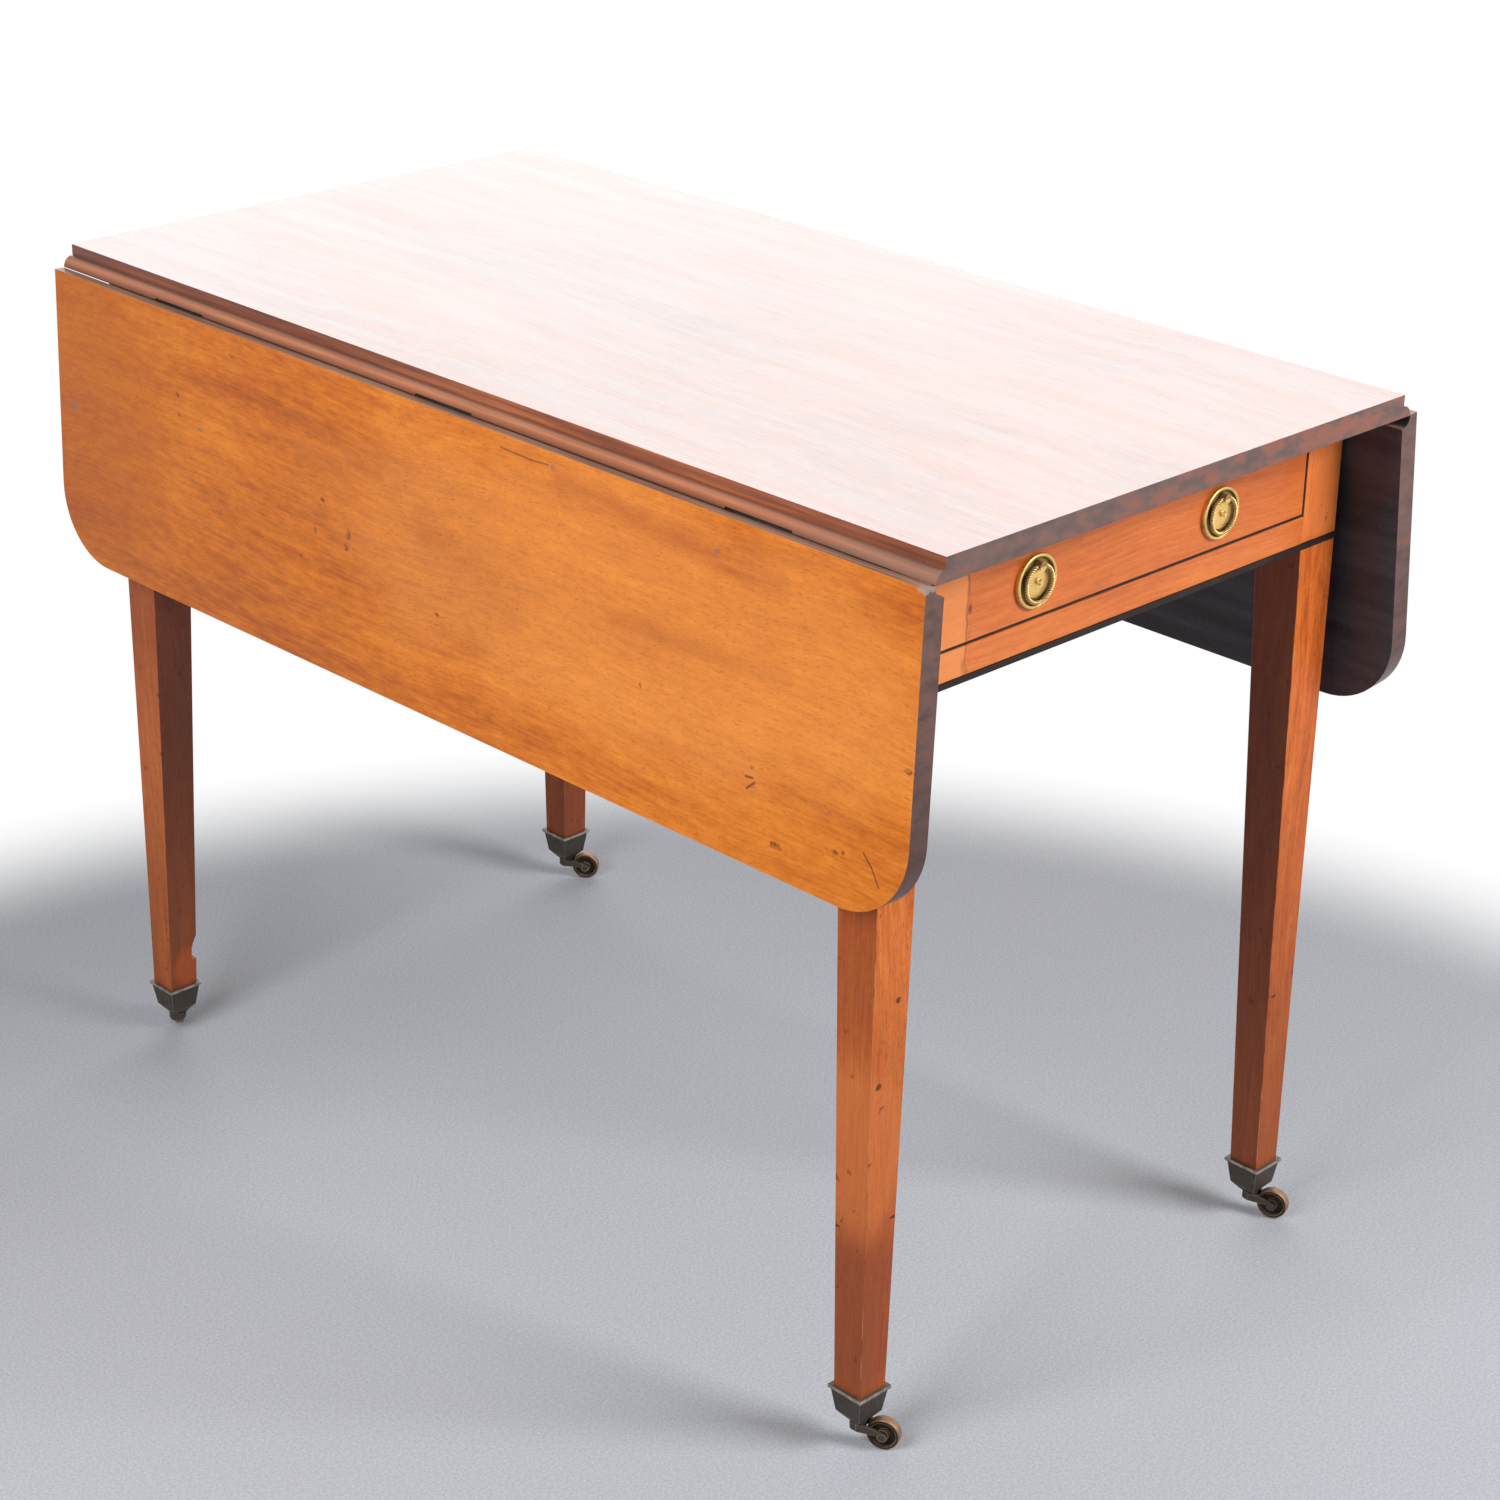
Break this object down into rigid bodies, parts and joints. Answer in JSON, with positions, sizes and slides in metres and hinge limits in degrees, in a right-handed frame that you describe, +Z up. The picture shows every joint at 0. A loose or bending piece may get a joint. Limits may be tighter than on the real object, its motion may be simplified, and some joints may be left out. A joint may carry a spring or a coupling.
{
  "type": "pembroke table",
  "caption": "Small mahogany drop-leaf table with an end drawer, black stringing, brass ring pulls, tapered legs and brass casters.",
  "frame": {"origin": "on the floor under the middle of the top", "axes": "+Z up, +Y along the table away from the drawer end, +X across it to the right seen from the drawer end"},
  "size_m": [0.5661, 0.984, 0.724],
  "materials": {
    "top_mahogany": "french polished",
    "leaf_mahogany": "french polished, worn",
    "leg_mahogany": "french polished, worn",
    "frieze_mahogany": "french polished",
    "secondary_wood": "unpolished, dark with age",
    "drawer_oak": "unpolished oak",
    "black_inlay": "ebonised, polished",
    "pull_brass": "aged brass",
    "bronze": "dark patinated brass",
    "wheel_brass": "worn brass",
    "hinge_iron": "dark wrought iron",
    "screw_steel": "dull steel"
  },
  "bodies": {
    "frame": {"top_board": "top_mahogany", "leg_front_left": "leg_mahogany", "fly_bracket_front_left": "secondary_wood", "leg_front_right": "leg_mahogany", "fly_bracket_front_right": "secondary_wood", "leg_back_left": "leg_mahogany", "fly_bracket_back_left": "secondary_wood", "leg_back_right": "leg_mahogany", "fly_bracket_back_right": "secondary_wood", "lower_drawer_rail": "frieze_mahogany", "upper_drawer_rail": "frieze_mahogany", "back_rail": "frieze_mahogany", "side_rail_left": "secondary_wood", "fly_rail_left": "secondary_wood", "drawer_runner_left": "drawer_oak", "side_rail_right": "secondary_wood", "fly_rail_right": "secondary_wood", "drawer_runner_right": "drawer_oak", "drawer_kickers": "drawer_oak", "drawer_stops": "drawer_oak", "hinge_top_plates": "hinge_iron", "hinge_pins": "hinge_iron", "fly_bracket_pins": "hinge_iron", "hinge_top_screws": "screw_steel", "top_screws": "screw_steel", "frieze_bands": "black_inlay", "back_stringing": "black_inlay", "pull_bolts_back": "pull_brass", "pull_plate_back_left": "pull_brass", "pull_plate_back_right": "pull_brass", "caster_caps": "bronze", "caster_swivel_pins": "bronze"},
    "leaf_left": {"leaf_left": "leaf_mahogany", "hinge_leaf_plates_left": "hinge_iron", "hinge_leaf_screws_left": "screw_steel"},
    "leaf_right": {"leaf_right": "leaf_mahogany", "hinge_leaf_plates_right": "hinge_iron", "hinge_leaf_screws_right": "screw_steel"},
    "drawer": {"drawer_front": "frieze_mahogany", "drawer_side_left": "drawer_oak", "drawer_side_right": "drawer_oak", "drawer_back": "drawer_oak", "drawer_bottom": "drawer_oak", "drawer_stringing": "black_inlay", "pull_plate_front_left": "pull_brass", "pull_plate_front_right": "pull_brass", "pull_bolts_front": "pull_brass"},
    "pull_ring_front_left": {"pull_ring_front_left": "pull_brass"},
    "pull_ring_front_right": {"pull_ring_front_right": "pull_brass"},
    "pull_ring_back_left": {"pull_ring_back_left": "pull_brass"},
    "pull_ring_back_right": {"pull_ring_back_right": "pull_brass"},
    "caster_front_left": {"caster_horn_front_left": "bronze"},
    "wheel_front_left": {"caster_wheel_front_left": "wheel_brass"},
    "caster_front_right": {"caster_horn_front_right": "bronze"},
    "wheel_front_right": {"caster_wheel_front_right": "wheel_brass"},
    "caster_back_left": {"caster_horn_back_left": "bronze"},
    "wheel_back_left": {"caster_wheel_back_left": "wheel_brass"},
    "caster_back_right": {"caster_horn_back_right": "bronze"},
    "wheel_back_right": {"caster_wheel_back_right": "wheel_brass"}
  },
  "joints": [
    {"name": "leaf_left_hinge", "type": "hinge", "parent": "frame", "child": "leaf_left", "pos_m": [-0.25, 0, 0.706], "axis": [0, 1, 0], "range_deg": [0, 88]},
    {"name": "leaf_right_hinge", "type": "hinge", "parent": "frame", "child": "leaf_right", "pos_m": [0.25, 0, 0.706], "axis": [0, -1, 0], "range_deg": [0, 85]},
    {"name": "drawer_slide", "type": "slide", "parent": "frame", "child": "drawer", "axis": [0, -1, 0], "range_m": [0, 0.4]},
    {"name": "pull_ring_front_left_hinge", "type": "hinge", "parent": "drawer", "child": "pull_ring_front_left", "pos_m": [-0.1015, -0.4466, 0.66715], "axis": [-1, 0, 0], "range_deg": [0, 100]},
    {"name": "pull_ring_front_right_hinge", "type": "hinge", "parent": "drawer", "child": "pull_ring_front_right", "pos_m": [0.1015, -0.4466, 0.66715], "axis": [-1, 0, 0], "range_deg": [0, 100]},
    {"name": "pull_ring_back_left_hinge", "type": "hinge", "parent": "frame", "child": "pull_ring_back_left", "pos_m": [-0.1015, 0.4468, 0.66715], "axis": [1, 0, 0], "range_deg": [0, 100]},
    {"name": "pull_ring_back_right_hinge", "type": "hinge", "parent": "frame", "child": "pull_ring_back_right", "pos_m": [0.1015, 0.4468, 0.66715], "axis": [1, 0, 0], "range_deg": [0, 100]},
    {"name": "caster_front_left_swivel", "type": "hinge", "parent": "frame", "child": "caster_front_left", "pos_m": [-0.2355, -0.4285, 0.022], "axis": [0, 0, 1], "continuous": true},
    {"name": "wheel_front_left_spin", "type": "hinge", "parent": "caster_front_left", "child": "wheel_front_left", "pos_m": [-0.22611, -0.44616, 0.013], "axis": [0.8829, 0.4695, 0], "continuous": true},
    {"name": "caster_front_right_swivel", "type": "hinge", "parent": "frame", "child": "caster_front_right", "pos_m": [0.2355, -0.4285, 0.022], "axis": [0, 0, 1], "continuous": true},
    {"name": "wheel_front_right_spin", "type": "hinge", "parent": "caster_front_right", "child": "wheel_front_right", "pos_m": [0.24267, -0.44717, 0.013], "axis": [0.9336, 0.3584, 0], "continuous": true},
    {"name": "caster_back_left_swivel", "type": "hinge", "parent": "frame", "child": "caster_back_left", "pos_m": [-0.2355, 0.4285, 0.022], "axis": [0, 0, 1], "continuous": true},
    {"name": "wheel_back_left_spin", "type": "hinge", "parent": "caster_back_left", "child": "wheel_back_left", "pos_m": [-0.22319, 0.44426, 0.013], "axis": [-0.788, 0.6157, 0], "continuous": true},
    {"name": "caster_back_right_swivel", "type": "hinge", "parent": "frame", "child": "caster_back_right", "pos_m": [0.2355, 0.4285, 0.022], "axis": [0, 0, 1], "continuous": true},
    {"name": "wheel_back_right_spin", "type": "hinge", "parent": "caster_back_right", "child": "wheel_back_right", "pos_m": [0.24809, 0.41296, 0.013], "axis": [0.7771, 0.6293, 0], "continuous": true}
  ]
}
